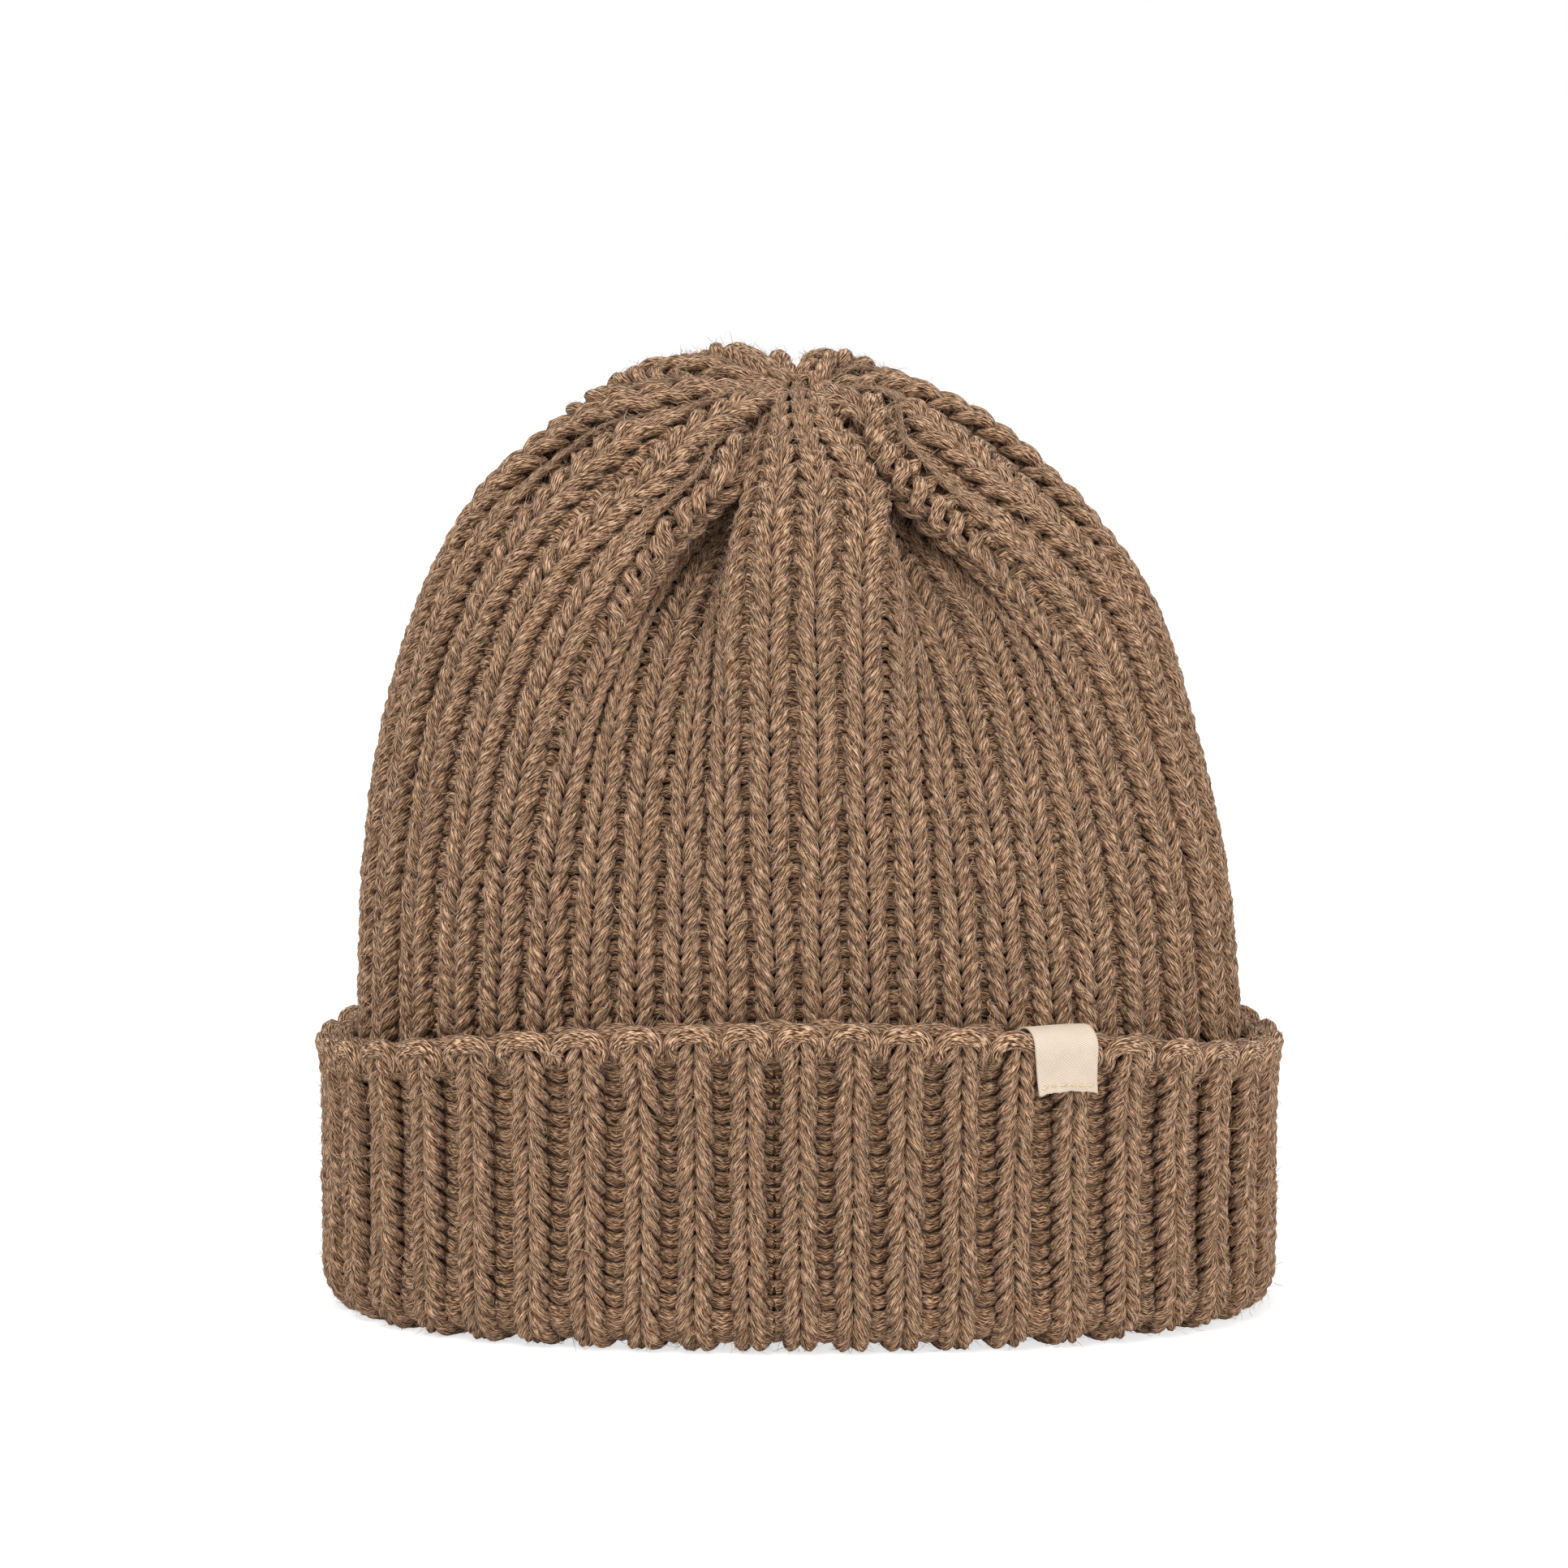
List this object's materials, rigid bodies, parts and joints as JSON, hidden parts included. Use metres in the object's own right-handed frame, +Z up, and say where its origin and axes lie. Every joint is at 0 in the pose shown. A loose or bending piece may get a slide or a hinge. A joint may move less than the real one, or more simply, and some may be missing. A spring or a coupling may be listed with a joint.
{
  "type": "cuffed knit hat",
  "caption": "Rib-knit winter hat with a turned-up cuff, a gathered crown and a small blank woven label folded over the cuff's edge.",
  "frame": {"origin": "On the surface that the hat stands on, under the middle of the head opening", "axes": "+Z up to the gathered crown, -Y towards the front of the hat, +X towards the wearer's left, where the label is"},
  "size_m": [0.2198, 0.1495, 0.2179],
  "materials": {
    "yarn": "soft woollen rib knit, matt, lightly fuzzy",
    "ribbon": "fine woven satin ribbon, slight sheen",
    "thread": "polyester sewing thread, slight sheen"
  },
  "bodies": {
    "root": {"body": "yarn", "crown_front": "yarn", "crown_left_front": "yarn", "crown_left_back": "yarn", "crown_right_back": "yarn", "crown_right_front": "yarn", "cuff_fold": "yarn", "cuff": "yarn", "cast_on_edge": "yarn", "label": "ribbon", "label_stitching": "thread", "gathering_yarn": "yarn"}
  },
  "joints": []
}
